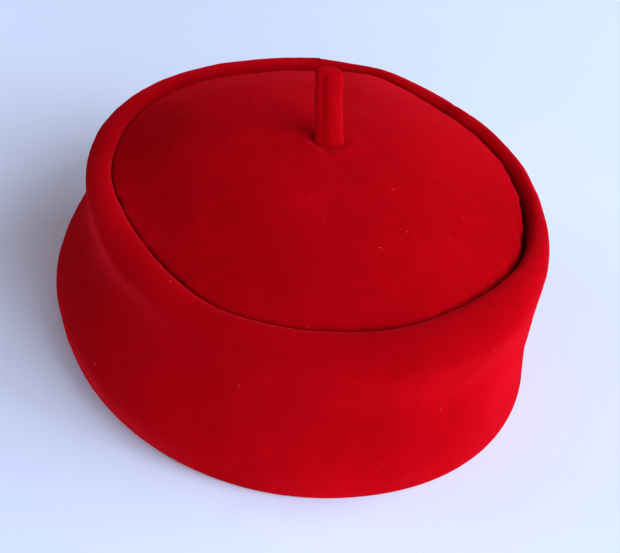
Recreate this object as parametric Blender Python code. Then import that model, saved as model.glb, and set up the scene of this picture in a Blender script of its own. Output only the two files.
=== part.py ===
"""An oval fez hat: a flared side band whose upper edge is rolled in, a domed crown set down inside that roll,
and a short upright stub of rolled cloth. Metres, +Z up, front towards -Y, resting on its hem at Z = 0."""

from collections import namedtuple

import bmesh
import bpy
import numpy as np

# Side band, measured outside
HEM_LENGTH = 0.2054
HEM_WIDTH = 0.1786
CREST_HEIGHT = 0.0650
WALL = 0.0030
HEM_ROUND = 0.0008
PLAN_SQUARENESS = 2.09
BACK_FULLNESS = 0.022

# Rolled upper edge, from the widest point of the band to the groove
ROLL_RISE = 0.0058
ROLL_WIDTH = 0.0102
ROLL_INNER_ROUND = 0.0036
TUCK_DEPTH = 0.0105
GROOVE_SHIFT_ACROSS = 0.0010

# Crown, set inside the roll
SEAM_GAP = 0.0003
GROOVE_WIDTH = 0.0016
CROWN_SHIFT_ACROSS = -0.0009
CROWN_DROP = 0.0006
CROWN_EDGE_ROUND = 0.0028
DOME_RISE = 0.0206
DOME_FULLNESS = 2.25
CROWN_THICKNESS = 0.0030

# Stub of rolled cloth on the crown, a little flat
STUB_WIDTH = 0.0098
STUB_DEPTH = 0.0074
STUB_TURN = np.radians(-18)
STUB_HEIGHT = 0.0290
STUB_TOP_ROUND = 0.0012
STUB_LEAN_ACROSS = -0.0030
STUB_LEAN_ALONG = 0.0010
STUB_SEAM_ANGLE = np.radians(240)
STUB_SEAM_DEPTH = 0.0005
STUB_SEAM_WIDTH = np.radians(16)
STUB_PLACE_ACROSS = 0.0022
STUB_PLACE_ALONG = 0.0050

AROUND = 84
WALL_ROWS = 15
INNER_ROWS = 10
ROLL_ROWS = 6
EDGE_ROWS = 5
DOME_ROWS = 9
STUB_AROUND = 28
STUB_ROWS = 6
STUB_TOP_ROWS = 4
SMOOTH_UP_TO = np.radians(50)

# Shares of the height of the widest point, of HEM_LENGTH, of HEM_WIDTH, and shifts as shares of the same two
Section = namedtuple("Section", "height length width shift_across shift_along")
BAND_SECTIONS = (
    Section(0.000, 1.000, 1.000, -0.019, 0.014),
    Section(0.217, 1.007, 1.009, -0.032, 0.004),
    Section(0.655, 0.970, 0.970, -0.005, 0.007),
    Section(1.000, 0.975, 0.974, 0.000, 0.000),
)

# Width of the rolled edge round the hat: degrees from +X towards +Y, and share of ROLL_WIDTH
RollWidth = namedtuple("RollWidth", "around share")
ROLL_WIDTHS = (
    RollWidth(0, 0.82),
    RollWidth(30, 0.80),
    RollWidth(60, 0.67),
    RollWidth(90, 1.10),
    RollWidth(120, 0.64),
    RollWidth(150, 0.88),
    RollWidth(180, 1.00),
    RollWidth(210, 1.03),
    RollWidth(240, 1.06),
    RollWidth(270, 1.50),
    RollWidth(300, 1.70),
    RollWidth(330, 0.82),
)

# Soft dents of the wall, below 0 a swelling: degrees round from +X towards +Y, share of the height of the widest
# point, depth as a share of HEM_WIDTH, and how far each spreads, in degrees and as a share of that height
Dent = namedtuple("Dent", "around height depth turn rise")
DENTS = (
    Dent(186, 0.85, 0.0085, 34, 0.10),
    Dent(206, 0.58, -0.0040, 16, 0.13),
    Dent(322, 0.34, 0.0040, 24, 0.14),
)

# Colours as linear red, green, blue
FELT_RED = (0.42, 0.004, 0.010, 1.0)
CROWN_RED = (0.38, 0.003, 0.008, 1.0)
STUB_RED = (0.45, 0.005, 0.014, 1.0)
FELT_ROUGHNESS = 0.95


def clear_scene():
    for old in list(bpy.data.objects):
        bpy.data.objects.remove(old)


def felt(name, colour):
    material = bpy.data.materials.new(name)
    material.use_nodes = True
    shader = material.node_tree.nodes["Principled BSDF"]
    shader.inputs["Base Color"].default_value = colour
    shader.inputs["Roughness"].default_value = FELT_ROUGHNESS
    shader.inputs["Metallic"].default_value = 0.0
    return material


def oval(half_width, half_length):
    """One loop of the plan outline: a superellipse, a little wider towards the back."""
    angle = np.arange(AROUND) * 2 * np.pi / AROUND
    power = 2 / PLAN_SQUARENESS
    across = np.sign(np.cos(angle)) * np.abs(np.cos(angle)) ** power
    along = np.sign(np.sin(angle)) * np.abs(np.sin(angle)) ** power
    across = across * (1 + BACK_FULLNESS * np.sin(angle))
    return np.column_stack((half_width * across, half_length * along))


def ring(half_width, half_length, centre, height):
    plan = oval(half_width, half_length) + centre
    return np.column_stack((plan, np.full(len(plan), height)))


def eased(shares, values, share):
    """Smooth curve through a table column: a cubic between rows, its slopes taken from the rows on either side."""
    slopes = np.gradient(values, shares)
    row = int(np.clip(np.searchsorted(shares, share, side="right") - 1, 0, len(shares) - 2))
    step = shares[row + 1] - shares[row]
    t = (share - shares[row]) / step
    start, end = values[row], values[row + 1]
    rise, fall = slopes[row] * step, slopes[row + 1] * step
    return (
        (2 * t**3 - 3 * t**2 + 1) * start
        + (t**3 - 2 * t**2 + t) * rise
        + (3 * t**2 - 2 * t**3) * end
        + (t**3 - t**2) * fall
    )


def band_section(share):
    """Half width, half length and centre of the band's outside at a share of its widest point's height."""
    shares = [row.height for row in BAND_SECTIONS]

    def column(name):
        return eased(shares, [getattr(row, name) for row in BAND_SECTIONS], share)

    half_width = column("width") * HEM_WIDTH / 2
    half_length = column("length") * HEM_LENGTH / 2
    centre = np.array((column("shift_across") * HEM_WIDTH, column("shift_along") * HEM_LENGTH))
    return half_width, half_length, centre


def dents(share):
    """How far the wall is pushed in all round at a share of the widest point's height: a sum of soft hollows."""
    around = np.arange(AROUND) * 360 / AROUND
    depth = np.zeros(AROUND)
    for dent in DENTS:
        away = (around - dent.around + 180) % 360 - 180
        fall = np.exp(-((away / dent.turn) ** 2) - ((share - dent.height) / dent.rise) ** 2)
        depth += dent.depth * HEM_WIDTH * fall
    return depth


def middle_of_plan():
    """Centre of the band's bounding box in plan, which the whole hat is moved by so that it stands on the origin."""
    loops = [ring(w, n, c, 0.0) for w, n, c in (band_section(s) for s in wall_shares())]
    points = np.concatenate(loops)[:, :2]
    return (points.min(axis=0) + points.max(axis=0)) / 2


def wall_shares():
    return np.linspace(0.0, 1.0, WALL_ROWS)


def widest_height():
    return CREST_HEIGHT - ROLL_RISE


def roll_widths():
    """Width of the rolled edge at each point of a loop: a smooth wave through the table's rows, closed on itself."""
    around = np.arange(AROUND) * 360 / AROUND
    step = 360 / len(ROLL_WIDTHS)
    weights = np.zeros((len(ROLL_WIDTHS), AROUND))
    for row, width in enumerate(ROLL_WIDTHS):
        away = np.abs((around - width.around + 180) % 360 - 180) / step
        weights[row] = np.where(away < 2, (1 + np.cos(away * np.pi / 2)) / 4, 0.0)
    shares = np.array([width.share for width in ROLL_WIDTHS])
    return ROLL_WIDTH * (shares @ weights)


def roll_ring(inset_share, height):
    """A loop of the rolled edge: inset 0 is the widest point of the band and 1 is the face of the groove."""
    half_width, half_length, centre = band_section(1.0)
    centre = centre + np.array((GROOVE_SHIFT_ACROSS * inset_share, 0.0))
    inset = roll_widths() * inset_share
    return ring(half_width - inset, half_length - inset, centre - middle_of_plan(), height)


def outer_wall():
    rows = []
    middle = middle_of_plan()
    for share in wall_shares():
        half_width, half_length, centre = band_section(share)
        if share == 0.0:
            under = HEM_ROUND
            rows.append(ring(half_width - under, half_length - under, centre - middle, 0.0))
            rows.append(ring(half_width, half_length, centre - middle, HEM_ROUND))
            continue
        dent = dents(share)
        rows.append(ring(half_width - dent, half_length - dent, centre - middle, share * widest_height()))
    return rows


def rolled_edge():
    """From the widest point over the crest and down the face of the groove: two quarter rounds and a straight drop."""
    rows = []
    crest_inset = 1 - ROLL_INNER_ROUND / ROLL_WIDTH
    quarter = np.linspace(0, np.pi / 2, ROLL_ROWS)
    for angle in quarter[1:]:
        height = widest_height() + ROLL_RISE * np.sin(angle)
        rows.append(roll_ring(crest_inset * (1 - np.cos(angle)), height))
    for angle in quarter[1:]:
        inset = crest_inset + (1 - crest_inset) * np.sin(angle)
        rows.append(roll_ring(inset, CREST_HEIGHT - ROLL_INNER_ROUND * (1 - np.cos(angle))))
    rows.append(roll_ring(1.0, CREST_HEIGHT - TUCK_DEPTH))
    return rows


def inner_wall():
    """Inside of the hat, from under the tucked edge down to the hem."""
    rows = []
    middle = middle_of_plan()
    top = CREST_HEIGHT - TUCK_DEPTH
    top_share = top / widest_height()
    for share in np.linspace(top_share, 0.0, INNER_ROWS):
        half_width, half_length, centre = band_section(share)
        if share == 0.0:
            rows.append(ring(half_width - WALL, half_length - WALL, centre - middle, HEM_ROUND))
            under = WALL - HEM_ROUND
            rows.append(ring(half_width - under, half_length - under, centre - middle, 0.0))
            continue
        inset = WALL + dents(share)
        rows.append(ring(half_width - inset, half_length - inset, centre - middle, share * widest_height()))
    return rows


def edge_turn():
    """Angle through which the crown's edge turns, from upright to the slope at which the dome starts."""
    half_width, half_length, _ = band_section(1.0)
    reach = (half_width + half_length) / 2 - ROLL_WIDTH - GROOVE_WIDTH - CROWN_EDGE_ROUND
    return np.pi / 2 - np.arctan(DOME_FULLNESS * DOME_RISE / reach)


def dome_edge():
    """Inset from the groove's face and height at which the rounded edge ends and the dome starts."""
    return GROOVE_WIDTH + CROWN_EDGE_ROUND * (1 - np.cos(edge_turn())), CREST_HEIGHT - CROWN_DROP


def crown_profile():
    """Edge of the crown from its seam in the groove up to the dome: inset from the groove's face, and height.
    It leans in from the seam to the groove's width, then rounds over."""
    seam = CREST_HEIGHT - TUCK_DEPTH
    shoulder = dome_edge()[1] - CROWN_EDGE_ROUND * np.sin(edge_turn())
    rows = [(SEAM_GAP, seam), (SEAM_GAP, seam + CROWN_THICKNESS / 2), (GROOVE_WIDTH, shoulder)]
    for angle in np.linspace(0, edge_turn(), EDGE_ROWS)[1:-1]:
        inset = GROOVE_WIDTH + CROWN_EDGE_ROUND * (1 - np.cos(angle))
        rows.append((inset, shoulder + CROWN_EDGE_ROUND * np.sin(angle)))
    return rows


def crown_half_sizes():
    """Half width and half length inside the groove's face, for each point of a loop, and the centre of that face."""
    half_width, half_length, centre = band_section(1.0)
    centre = centre + np.array((GROOVE_SHIFT_ACROSS, 0.0)) - middle_of_plan()
    return half_width - roll_widths(), half_length - roll_widths(), centre


def dome_middle():
    """Centre of the dome in plan, set off from the groove's centre so that the groove is wider on one side."""
    return crown_half_sizes()[2] + np.array((CROWN_SHIFT_ACROSS, 0.0))


def dome_height(share):
    """Height of the dome's outside at a share of its radius, 0 in the middle and 1 at its edge."""
    return dome_edge()[1] + DOME_RISE * (1 - share**DOME_FULLNESS)


def crown_rows(thickness):
    """Loops of the crown's outside, or with a thickness those of its inside, from the seam to near the middle."""
    half_width, half_length, centre = crown_half_sizes()
    rows = []
    for inset, height in crown_profile():
        middle = centre if inset == SEAM_GAP else dome_middle()
        inset = inset + thickness
        rows.append(ring(half_width - inset, half_length - inset, middle, height))
    edge = dome_edge()[0] + thickness
    for share in np.linspace(1.0, 0.0, DOME_ROWS + 1)[:-1]:
        height = dome_height(share) - thickness
        rows.append(ring((half_width - edge) * share, (half_length - edge) * share, dome_middle(), height))
    return rows


def bridge(mesh, lower, upper):
    """Quads between two loops of the same length."""
    for i in range(len(lower)):
        j = (i + 1) % len(lower)
        mesh.faces.new((lower[i], lower[j], upper[j], upper[i]))


def fan(mesh, loop, tip, flip):
    for i in range(len(loop)):
        j = (i + 1) % len(loop)
        corners = (loop[j], loop[i], tip) if flip else (loop[i], loop[j], tip)
        mesh.faces.new(corners)


def add_object(name, mesh, material):
    bmesh.ops.recalc_face_normals(mesh, faces=mesh.faces)
    data = bpy.data.meshes.new(name)
    mesh.to_mesh(data)
    mesh.free()
    data.materials.append(material)
    data.shade_smooth()
    data.set_sharp_from_angle(angle=SMOOTH_UP_TO)
    built = bpy.data.objects.new(name, data)
    bpy.context.scene.collection.objects.link(built)
    return built


def make_side_band():
    rows = outer_wall() + rolled_edge() + inner_wall()
    mesh = bmesh.new()
    loops = [[mesh.verts.new(point) for point in row] for row in rows]
    for lower, upper in zip(loops, loops[1:] + loops[:1]):
        bridge(mesh, lower, upper)
    return add_object("side_band", mesh, felt("felt_band", FELT_RED))


def make_crown():
    mesh = bmesh.new()
    outside = [[mesh.verts.new(point) for point in row] for row in crown_rows(0.0)]
    inside = [[mesh.verts.new(point) for point in row] for row in crown_rows(CROWN_THICKNESS)]
    for loops in (outside, inside):
        for lower, upper in zip(loops, loops[1:]):
            bridge(mesh, lower, upper)
    bridge(mesh, inside[0], outside[0])
    middle = dome_middle()
    fan(mesh, outside[-1], mesh.verts.new((*middle, dome_height(0.0))), False)
    fan(mesh, inside[-1], mesh.verts.new((*middle, dome_height(0.0) - CROWN_THICKNESS)), True)
    return add_object("crown", mesh, felt("felt_crown", CROWN_RED))


def stub_base():
    """Where the stub stands on the dome, with the seam gap over the highest point under it."""
    half_width, half_length, _ = band_section(1.0)
    edge = ROLL_WIDTH + dome_edge()[0]
    place = np.array((STUB_PLACE_ACROSS, STUB_PLACE_ALONG)) - middle_of_plan()
    away = (place - dome_middle()) / (half_width - edge, half_length - edge)
    nearest = max(0.0, float(np.hypot(*away)) - STUB_WIDTH / 2 / (half_width - edge))
    return place, dome_height(nearest) + SEAM_GAP


def stub_loop(place, inset, height):
    """A loop of the stub: an oval with the notch of its lengthwise seam, turned, and moved over by the lean."""
    angle = np.arange(STUB_AROUND) * 2 * np.pi / STUB_AROUND
    notch = STUB_SEAM_DEPTH * np.exp(-(((angle - STUB_SEAM_ANGLE) / STUB_SEAM_WIDTH) ** 2))
    across = (STUB_WIDTH / 2 - inset - notch) * np.cos(angle)
    along = (STUB_DEPTH / 2 - inset - notch) * np.sin(angle)
    lean = np.array((STUB_LEAN_ACROSS, STUB_LEAN_ALONG)) * height / STUB_HEIGHT
    x = place[0] + lean[0] + across * np.cos(STUB_TURN) - along * np.sin(STUB_TURN)
    y = place[1] + lean[1] + across * np.sin(STUB_TURN) + along * np.cos(STUB_TURN)
    return x, y


def make_stub():
    place, foot = stub_base()
    shoulder = STUB_HEIGHT - STUB_TOP_ROUND
    rows = [(0.0, share * shoulder) for share in np.linspace(0, 1, STUB_ROWS)]
    for angle in np.linspace(0, np.pi / 2, STUB_TOP_ROWS)[1:]:
        rows.append((STUB_TOP_ROUND * (1 - np.cos(angle)), shoulder + STUB_TOP_ROUND * np.sin(angle)))
    mesh = bmesh.new()
    loops = []
    for inset, rise in rows:
        x, y = stub_loop(place, inset, rise)
        points = np.column_stack((x, y, np.full(STUB_AROUND, foot + rise)))
        loops.append([mesh.verts.new(point) for point in points])
    for lower, upper in zip(loops, loops[1:]):
        bridge(mesh, lower, upper)
    mesh.faces.new(loops[-1])
    mesh.faces.new(loops[0][::-1])
    return add_object("stub", mesh, felt("felt_stub", STUB_RED))


def main():
    clear_scene()
    make_side_band()
    make_crown()
    make_stub()


main()
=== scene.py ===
"""A low oval fez hat of red pile felt on a plain pale floor: the flared side band with its rolled
upper edge, the domed crown sewn into it, the rolled stub on top, and the loose fibres on them."""

import bpy
import numpy as np
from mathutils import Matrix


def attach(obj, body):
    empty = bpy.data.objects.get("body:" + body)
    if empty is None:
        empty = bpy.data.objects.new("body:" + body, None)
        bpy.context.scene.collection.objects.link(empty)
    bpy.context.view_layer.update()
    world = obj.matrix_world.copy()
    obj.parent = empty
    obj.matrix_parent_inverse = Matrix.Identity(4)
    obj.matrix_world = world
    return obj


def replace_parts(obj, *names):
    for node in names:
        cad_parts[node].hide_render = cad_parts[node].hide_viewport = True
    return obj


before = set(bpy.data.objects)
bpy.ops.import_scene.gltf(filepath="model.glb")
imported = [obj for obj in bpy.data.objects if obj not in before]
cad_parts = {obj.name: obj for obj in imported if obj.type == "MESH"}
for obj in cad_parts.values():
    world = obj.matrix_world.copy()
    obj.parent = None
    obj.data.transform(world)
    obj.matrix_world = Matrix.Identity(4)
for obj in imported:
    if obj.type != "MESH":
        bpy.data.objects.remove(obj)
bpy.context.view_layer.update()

bl_info = {
    "name": "Fez Hat",
    "version": (1, 0, 0),
    "blender": (4, 5, 0),
    "location": "View3D > Sidebar > Fez Hat",
    "description": "Builds an oval fez hat of pile felt, piece by piece",
    "category": "Add Mesh",
}

# Columns and rows of the surfaces
BAND_COLUMNS = 480
SEAM_COLUMNS = 72
WALL_ROWS = 74
ROLL_OUTER_ROWS = 16
ROLL_SLOPE_ROWS = 16
TUCK_ROWS = 7
LEDGE_ROWS = 5
LINING_SIDE_ROWS = 26
HEM_ROWS = 4
CROWN_COLUMNS = 384
CROWN_EDGE_ROWS = 12
DOME_ROWS = 104
DOME_INSIDE_ROWS = 26
STUB_COLUMNS = 168
STUB_ROWS = 96
STUB_TOP_ROWS = 30


def table(names, *rows):
    """A table of numbers with named columns."""
    return np.array(list(rows), dtype=[(name, float) for name in names])


# Sections of the band as shares: height of the widest point's height, length and shift_along of the
# hem's length, width and shift_across of the hem's width
BAND_SECTIONS = table(
    ("height", "length", "width", "shift_across", "shift_along"),
    (0.000, 1.000, 1.000, -0.019, 0.014),
    (0.217, 1.007, 1.009, -0.032, 0.004),
    (0.655, 0.970, 0.970, -0.005, 0.007),
    (1.000, 0.975, 0.974, 0.000, 0.000),
)

# The rolled edge every 15 degrees round the hat, from +X towards +Y: its width in metres, the share
# of that width which slopes down into the groove, how far open the groove is, from 0 pressed shut
# to 1, and in metres the sag of the rolled edge, the dip of the crown beside it, the fall of its
# slope, and how much lower its roll starts on the wall
RIM = table(
    ("width", "slope", "open", "sag", "dip", "fall", "lower"),
    (0.0082, 0.46, 0.55, 0.0005, 0.0000, 0.0042, 0.0004),
    (0.0083, 0.52, 0.20, 0.0009, 0.0000, 0.0034, 0.0000),
    (0.0086, 0.54, 0.00, 0.0009, 0.0000, 0.0028, 0.0000),
    (0.0078, 0.48, 0.00, 0.0007, 0.0000, 0.0020, 0.0000),
    (0.0058, 0.42, 0.00, 0.0000, 0.0001, 0.0018, 0.0000),
    (0.0084, 0.36, 0.36, 0.0000, 0.0008, 0.0024, 0.0000),
    (0.0096, 0.28, 0.08, -0.0001, 0.0018, 0.0016, 0.0000),
    (0.0091, 0.27, 0.00, 0.0006, 0.0018, 0.0018, 0.0000),
    (0.0087, 0.28, 0.05, 0.0005, 0.0018, 0.0032, 0.0000),
    (0.0083, 0.29, 0.15, 0.0002, 0.0020, 0.0042, 0.0000),
    (0.0086, 0.30, 0.20, 0.0000, 0.0026, 0.0046, 0.0000),
    (0.0088, 0.30, 0.45, 0.0002, 0.0022, 0.0045, 0.0000),
    (0.0106, 0.30, 0.75, 0.0000, 0.0015, 0.0046, 0.0002),
    (0.0122, 0.30, 0.80, 0.0000, 0.0010, 0.0048, 0.0004),
    (0.0124, 0.32, 0.65, 0.0000, 0.0005, 0.0048, 0.0007),
    (0.0114, 0.34, 0.10, 0.0000, 0.0001, 0.0042, 0.0011),
    (0.0137, 0.32, 0.10, 0.0000, 0.0000, 0.0036, 0.0020),
    (0.0160, 0.29, 0.13, 0.0000, 0.0000, 0.0031, 0.0032),
    (0.0169, 0.26, 0.18, 0.0000, 0.0000, 0.0028, 0.0043),
    (0.0181, 0.23, 0.26, 0.0000, 0.0000, 0.0026, 0.0051),
    (0.0175, 0.22, 0.42, 0.0000, 0.0000, 0.0027, 0.0053),
    (0.0146, 0.24, 0.65, 0.0000, 0.0000, 0.0031, 0.0047),
    (0.0110, 0.28, 0.80, 0.0001, 0.0000, 0.0037, 0.0032),
    (0.0094, 0.36, 0.78, 0.0003, 0.0000, 0.0042, 0.0015),
)

# Soft dents of the wall, below 0 a swelling: degrees round, share of the widest point's height,
# depth as a share of the hem's width, spread in degrees and spread as a share of that height
WALL_DENTS = table(
    ("around", "height", "depth", "turn", "rise"),
    (186, 0.82, 0.0084, 34, 0.15),
    (208, 0.56, -0.0026, 18, 0.16),
    (322, 0.34, 0.0040, 24, 0.14),
    (22, 1.00, 0.0024, 16, 0.35),
    (31, 1.00, 0.0028, 5, 0.35),
)

# Patches where the pile is brushed up, or down below 0, many of them painted light and painted shade
# on the crown, the rim, the wall and the stub's top: the patch's middle and its reach in metres, and
# how far it is brushed up and painted lighter
PILE_AND_LIGHT_PATCHES = table(
    ("x", "y", "z", "reach", "brushed"),
    (-0.022, -0.062, 0.072, 0.030, -0.90),
    (-0.004, -0.042, 0.077, 0.020, -0.45),
    (-0.059, 0.036, 0.069, 0.022, -1.00),
    (-0.018, 0.044, 0.079, 0.028, 0.80),
    (0.063, -0.073, 0.033, 0.024, 1.00),
    (-0.022, -0.102, 0.016, 0.024, 0.60),
    (-0.003, -0.103, 0.050, 0.020, -0.50),
    (0.010, -0.095, 0.065, 0.018, -0.40),
    (0.004, 0.004, 0.115, 0.003, 1.20),
    (-0.050, 0.048, 0.070, 0.020, -1.10),
    (-0.080, 0.004, 0.062, 0.020, 1.40),
    (0.000, 0.096, 0.063, 0.024, 0.15),
    (0.018, 0.088, 0.062, 0.012, 0.90),
    (-0.010, 0.088, 0.062, 0.012, 0.90),
    (0.054, 0.074, 0.062, 0.018, 0.90),
    (0.067, 0.060, 0.063, 0.006, 1.00),
    (0.073, 0.052, 0.063, 0.005, -1.10),
    (0.078, 0.043, 0.063, 0.006, 1.00),
    (0.082, 0.032, 0.063, 0.006, -0.90),
    (0.081, -0.030, 0.064, 0.020, -0.90),
    (-0.010, -0.030, 0.082, 0.018, 0.50),
    (-0.010, 0.034, 0.081, 0.016, 0.40),
    (-0.060, -0.012, 0.073, 0.014, -0.50),
)

# Soft lights of a wide low window to the right and the front, and of a pale wall behind on the
# left: degrees round from +X and up, distance, width and height in metres, and power in watts
WINDOW_LIGHTS = table(
    ("azimuth", "elevation", "distance", "width", "height", "power"),
    (5, 24, 2.6, 1.4, 1.0, 27.9),
    (-30, 12, 2.6, 1.4, 0.8, 66.3),
    (-86, 13, 2.6, 1.7, 0.9, 47.0),
    (-55, 42, 2.6, 1.6, 1.6, 47.9),
    (150, 30, 2.6, 1.6, 1.2, 14.9),
)

# Layers of soft relief on the pieces: height and wavelength in metres, and the seed of the waves
BAND_RELIEF = ((0.00018, 0.046, 11), (0.00006, 0.017, 12), (0.00002, 0.0055, 13))
CROWN_RELIEF = ((0.00018, 0.060, 21), (0.00006, 0.021, 22), (0.000015, 0.0060, 23))
STUB_RELIEF = ((0.00010, 0.012, 31), (0.00003, 0.0035, 32))

# A finer layer near the crown's edge alone, and its reach as a share of the radius
EDGE_RELIEF = ((0.00007, 0.009, 24),)
EDGE_REACH = 0.035

# Heights on the wall between which the rim's sag fades in; the lowered roll starts at the first
STEADY_HEIGHT = 0.030
SAG_HEIGHT = 0.060
SAG_POWER = 6

# Half the height over which the hem's turning fades into the inner wall
HEM_FOLD_STEP = 0.0004

# The seam: angle with closer columns on each side, wander in metres with the height over which it
# turns, pinch of the stitches with their spacing and their turn over the roll, offset of the sunk
# line, reach of the lapped ridge past it and short of it, and the ridge's share down on the wall
SEAM_REACH = 0.10
SEAM_WANDER = ((0.0004, 0.0043), (0.0003, 0.0017))
STITCH_PINCH = 0.35
STITCH_SPACING = 0.0042
STITCH_TURN = 9
SEAM_LINE_OFFSET = 0.0010
RIDGE_REACH_PAST = 0.0013
RIDGE_REACH_SHORT = 0.0008
RIDGE_ON_WALL = 0.3

# A nick in the rolled edge: degrees round, half width, middle below the crest, half height, depth
NICK_AROUND = 34.5
NICK_HALF_WIDTH = 0.0016
NICK_BELOW_CREST = 0.0032
NICK_HALF_HEIGHT = 0.0030
NICK_DEPTH = 0.0006

# A faint fold that climbs across the front: its start and run in degrees, height at the start and
# climb over the run, half width, spread as a share of the run, and how far it stands out
FOLD_START = 269.4
FOLD_RUN = 23.2
FOLD_HEIGHT = 0.0166
FOLD_CLIMB = 0.0124
FOLD_HALF_WIDTH = 0.0009
FOLD_SPREAD = 0.55
FOLD_RISE = 0.00016

# Painted shade: how dark the band is painted in the seam's line, the groove and the nick, and the
# crown down in the groove
LINE_PAINTED_SHADE = 0.06
GROOVE_PAINTED_SHADE = 0.25
NICK_PAINTED_SHADE = 0.2
CROWN_FOOT_PAINTED_SHADE = 0.45

# Waves of the groove's width: share, waves round the hat and phase; and its pocket beside the seam
GROOVE_WAVES = ((0.22, 31, 0.6), (0.20, 53, 2.1), (0.16, 89, 0.0))
GROOVE_WAVES_FROM = 0.94
POCKET_SHARE = 0.8
POCKET = (0.050, 0.050)

# The crown's dip starts at a share of the radius, and fades in between two heights; so does its
# relief, and the painted shade at its foot in the groove fades out
DIP_FROM = 0.66
DIP_HEIGHTS = (0.0555, 0.0600)
CROWN_RELIEF_HEIGHTS = (0.0585, 0.0640)
CROWN_SHADE_HEIGHTS = (0.0560, 0.0620)

# The pile round the stub: a puckered ring, a moat inside it and painted shade round the foot,
# darker on the left where the stub's shadow falls, each with its radius and half width, the last
# two with an amount all round and more on the left
PUCKERS = ((0.35, 5, 0.7), (0.2, 9, 2.0))
RING_RISE = 0.00040
RING = (0.0088, 0.0026)
MOAT_DEPTH = 0.00010
MOAT_DEPTH_LEFT = 0.00060
MOAT = (0.0058, 0.0020)
FOOT_SHADE = 0.06
FOOT_SHADE_LEFT = 0.30
FOOT_SHADE_RING = (0.0050, 0.0014)

# The stub: power of its rounded top, angle over which the flap steps, angle past the flap and reach
# of the valley and of the painted shade along it, flare of the foot with its height, and the rolled
# layers' pitch and the depth of the spiral between them
STUB_TOP_POWER = 0.55
FLAP_TURN = 0.35
VALLEY = (0.48, 0.30)
VALLEY_SHADE_REACH = (0.55, 0.26)
FLARE = 0.0005
FLARE_HEIGHT = 0.0018
LAYER = 0.0012
SPIRAL_DEPTH = 0.00014
# Painted shade on the stub: an even amount over all of it, more in its valley and in its spiral
STUB_PAINTED_SHADE = 0.06
VALLEY_PAINTED_SHADE = 0.20
SPIRAL_PAINTED_SHADE = 0.10

# The fibres: seed, rings and sides of each tube, spread of their lengths and of their bends
FIBRE_SEED = 41
FIBRE_RINGS = 7
FIBRE_SIDES = 4
FIBRE_LENGTH_SPREAD = 0.4
FIBRE_BEND_SPREAD = 0.45

# The felt's noises as scale, detail and roughness, their shares in the colour and in the bump, and
# the sums that give the deepest and the brightest red
PATCHES = (26.0, 3.0, 0.55)
NAP = (150.0, 4.0, 0.6)
PILE = (1300.0, 4.0, 0.75)
GRAIN = (3600.0, 2.0, 0.6)
COLOUR_SHARES = {"patches": 0.38, "nap": 0.28, "brushed": 0.16, "pile": 0.20, "grain": 0.06}
BUMP_SHARES = {"pile": 0.7, "nap": 0.9, "grain": 0.3}
DEEPEST = 0.30
BRIGHTEST = 0.62

# Half the floor's side, the scale of its faint unevenness, and how much lighter that gets
FLOOR_REACH = 4.0
FLOOR_NOISE = (8.0, 3.0, 0.5)
FLOOR_LIGHTER = 1.06


def length_setting(name, description, default):
    """A length in metres."""
    return bpy.props.FloatProperty(
        name=name, description=description, default=default, unit="LENGTH"
    )


def angle_setting(name, description, default):
    """An angle in radians, which the panel shows in degrees."""
    return bpy.props.FloatProperty(
        name=name, description=description, default=default, subtype="ANGLE"
    )


def colour_setting(name, description, default):
    """A colour of three linear values."""
    return bpy.props.FloatVectorProperty(
        name=name, description=description, default=default, size=3, subtype="COLOR"
    )


def count_setting(name, description, default):
    """A number of like pieces, none at the least."""
    return bpy.props.IntProperty(name=name, description=description, default=default, min=0)


class BandSizes(bpy.types.PropertyGroup):
    """Sizes of the side band and its rolled edge."""

    hem_length: length_setting("Hem length", "Front to back outside at the hem", 0.2054)
    hem_width: length_setting("Hem width", "Side to side outside at the hem", 0.1786)
    crest_height: length_setting("Crest height", "Height of the rolled edge", 0.0650)
    wall: length_setting("Wall", "Thickness of the felt", 0.0030)
    hem_round: length_setting("Hem round", "Rounding of the hem's two edges", 0.0008)
    squareness: bpy.props.FloatProperty(
        name="Squareness", description="Power of the plan outline, 2 for an ellipse", default=2.09
    )
    back_fullness: bpy.props.FloatProperty(
        name="Back fullness",
        description="Share by which the back is wider than the middle",
        default=0.022,
    )
    roll_rise: length_setting("Roll rise", "Height of the crest above the widest point", 0.0058)
    tuck_depth: length_setting("Tuck depth", "Depth of the rolled edge below the crest", 0.0105)
    groove_shift: length_setting("Groove shift", "Shift of the groove across the hat", 0.0010)
    hem_fold: length_setting("Hem fold", "Height of the hem's turning inside", 0.0120)


class SeamSizes(bpy.types.PropertyGroup):
    """Sizes of the seam at the back of the band."""

    seam_around: angle_setting("Place round", "Where the seam runs, from +X towards +Y", 1.357)
    slant: angle_setting("Slant", "Turn of the seam from the hem to the groove", -0.075)
    depth: length_setting("Depth", "Depth of the seam", 0.00012)
    width: length_setting("Width", "Width of the seam", 0.0007)
    swell: length_setting("Swell", "Rise of the lapped edge", 0.00052)


class CrownSizes(bpy.types.PropertyGroup):
    """Sizes of the crown."""

    seam_gap: length_setting("Seam gap", "Gap between the crown's foot and the groove", 0.0003)
    groove_width: length_setting("Groove width", "Open width of the groove", 0.0016)
    shift: length_setting("Shift", "Shift of the dome across the groove", -0.0009)
    drop: length_setting("Drop", "How far the dome's edge lies below the crest", 0.0006)
    edge_round: length_setting("Edge round", "Rounding of the crown's edge", 0.0023)
    rise: length_setting("Rise", "Height of the dome over its edge", 0.0206)
    fullness: bpy.props.FloatProperty(
        name="Fullness", description="Power of the dome's curve, 2 for a parabola", default=1.95
    )
    thickness: length_setting("Thickness", "Thickness of the crown's felt", 0.0030)


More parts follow.
